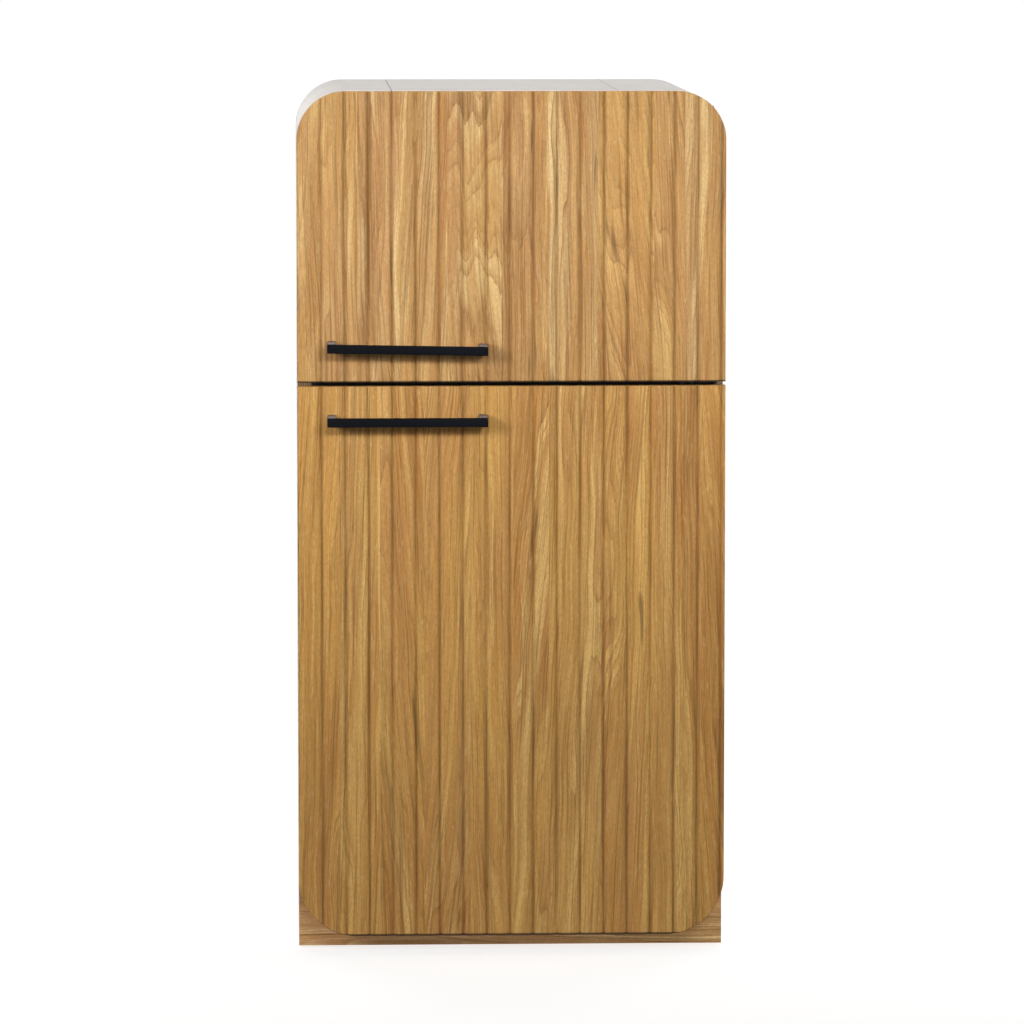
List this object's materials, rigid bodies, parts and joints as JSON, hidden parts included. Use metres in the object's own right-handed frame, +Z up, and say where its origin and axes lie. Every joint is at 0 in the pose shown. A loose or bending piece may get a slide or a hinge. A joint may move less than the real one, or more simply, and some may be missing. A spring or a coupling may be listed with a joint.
{
  "type": "two-door refrigerator",
  "caption": "Compact free-standing fridge with a freezer on top, fluted oak doors with rounded outer corners, black bar handles and a pale bent-plywood cabinet.",
  "frame": {"origin": "middle of the bounding box's base, on the floor plane", "axes": "+Z up, the doors and handles face -Y, the hinges are on the +X side"},
  "size_m": [0.546, 0.579, 1.105],
  "materials": {
    "oak": "matte",
    "shell_laminate": "matte",
    "seam_filler": "matte",
    "handle_black": "satin",
    "black_metal": "satin",
    "grey_metal": "satin",
    "hinge_steel": "satin",
    "white_wire": "satin",
    "aluminium_plate": "satin",
    "copper_pipe": "satin",
    "white_plastic": "satin",
    "black_plastic": "matte",
    "clear_plastic": "gloss",
    "shelf_glass": "polished",
    "lamp_glass": "gloss",
    "seal_rubber": "matte",
    "foam": "matte"
  },
  "bodies": {
    "cabinet": {"back_panel": "grey_metal", "base_pan": "grey_metal", "bay_panel": "grey_metal", "bottom_hinge_bracket": "hinge_steel", "compressor": "black_metal", "compressor_grommets": "seal_rubber", "condenser_clips": "black_plastic", "condenser_tube": "black_metal", "condenser_wires": "black_metal", "control_housing": "white_plastic", "crisper_cover": "shelf_glass", "door_switch_housing": "white_plastic", "drip_tray": "black_plastic", "filter_drier": "copper_pipe", "foam_insulation": "foam", "freezer_liner": "white_plastic", "freezer_wire_shelf": "white_wire", "fridge_evaporator": "aluminium_plate", "fridge_liner": "white_plastic", "front_frame": "black_metal", "glass_shelves": "shelf_glass", "hinge_screws": "hinge_steel", "lamp_bulb": "lamp_glass", "lamp_lens": "clear_plastic", "left_side_wrap": "shell_laminate", "middle_hinge_bracket": "hinge_steel", "plinth_front": "oak", "power_inlet": "black_plastic", "rear_feet": "black_plastic", "refrigerant_pipes": "copper_pipe", "relay_cover": "black_plastic", "right_side_wrap": "shell_laminate", "shelf_trims": "white_plastic", "top_hinge_bracket": "hinge_steel", "top_panel": "shell_laminate", "top_seam_strips": "seam_filler"},
    "upper_door": {"upper_door_front": "oak", "upper_door_core": "black_plastic", "upper_door_liner": "white_plastic", "upper_door_gasket": "seal_rubber", "upper_handle": "handle_black", "upper_handle_screws": "hinge_steel", "upper_hinge_bushes": "white_plastic", "freezer_door_bin": "clear_plastic"},
    "lower_door": {"lower_door_front": "oak", "lower_door_core": "black_plastic", "lower_door_liner": "white_plastic", "lower_door_gasket": "seal_rubber", "lower_handle": "handle_black", "lower_handle_screws": "hinge_steel", "lower_hinge_bushes": "white_plastic", "bottle_bin": "clear_plastic", "middle_bin": "clear_plastic", "dairy_bin": "clear_plastic"},
    "dairy_lid": {"dairy_lid": "clear_plastic"},
    "crisper": {"crisper_drawer": "clear_plastic"},
    "thermostat_knob": {"thermostat_knob": "white_plastic"},
    "switch_plunger": {"door_switch_plunger": "black_plastic"},
    "left_foot": {"front_left_foot": "black_plastic"},
    "right_foot": {"front_right_foot": "black_plastic"}
  },
  "joints": [
    {"name": "upper_door_hinge", "type": "hinge", "parent": "cabinet", "child": "upper_door", "pos_m": [0.26, -0.2315, 0.901], "axis": [0, 0, 1], "range_deg": [0, 110]},
    {"name": "lower_door_hinge", "type": "hinge", "parent": "cabinet", "child": "lower_door", "pos_m": [0.26, -0.2315, 0.423], "axis": [0, 0, 1], "range_deg": [0, 110]},
    {"name": "dairy_lid_hinge", "type": "hinge", "parent": "lower_door", "child": "dairy_lid", "pos_m": [0, -0.2104, 0.5955], "axis": [1, 0, 0], "range_deg": [0, 85]},
    {"name": "crisper_slide", "type": "slide", "parent": "cabinet", "child": "crisper", "axis": [0, -1, 0], "range_m": [0, 0.008]},
    {"name": "thermostat_turn", "type": "hinge", "parent": "cabinet", "child": "thermostat_knob", "pos_m": [0.17, -0.056, 0.642], "axis": [-1, 0, 0], "range_deg": [0, 270]},
    {"name": "switch_plunger_slide", "type": "slide", "parent": "cabinet", "child": "switch_plunger", "axis": [0, -1, 0], "range_m": [0, 0.006]},
    {"name": "left_foot_turn", "type": "hinge", "parent": "cabinet", "child": "left_foot", "pos_m": [-0.215, -0.1585, 0.01], "axis": [0, 0, 1], "continuous": true},
    {"name": "right_foot_turn", "type": "hinge", "parent": "cabinet", "child": "right_foot", "pos_m": [0.215, -0.1585, 0.01], "axis": [0, 0, 1], "continuous": true}
  ],
  "couplings": [
    {"joint": "switch_plunger_slide", "follows": "lower_door_hinge", "m_per_rad": 0.003125}
  ]
}
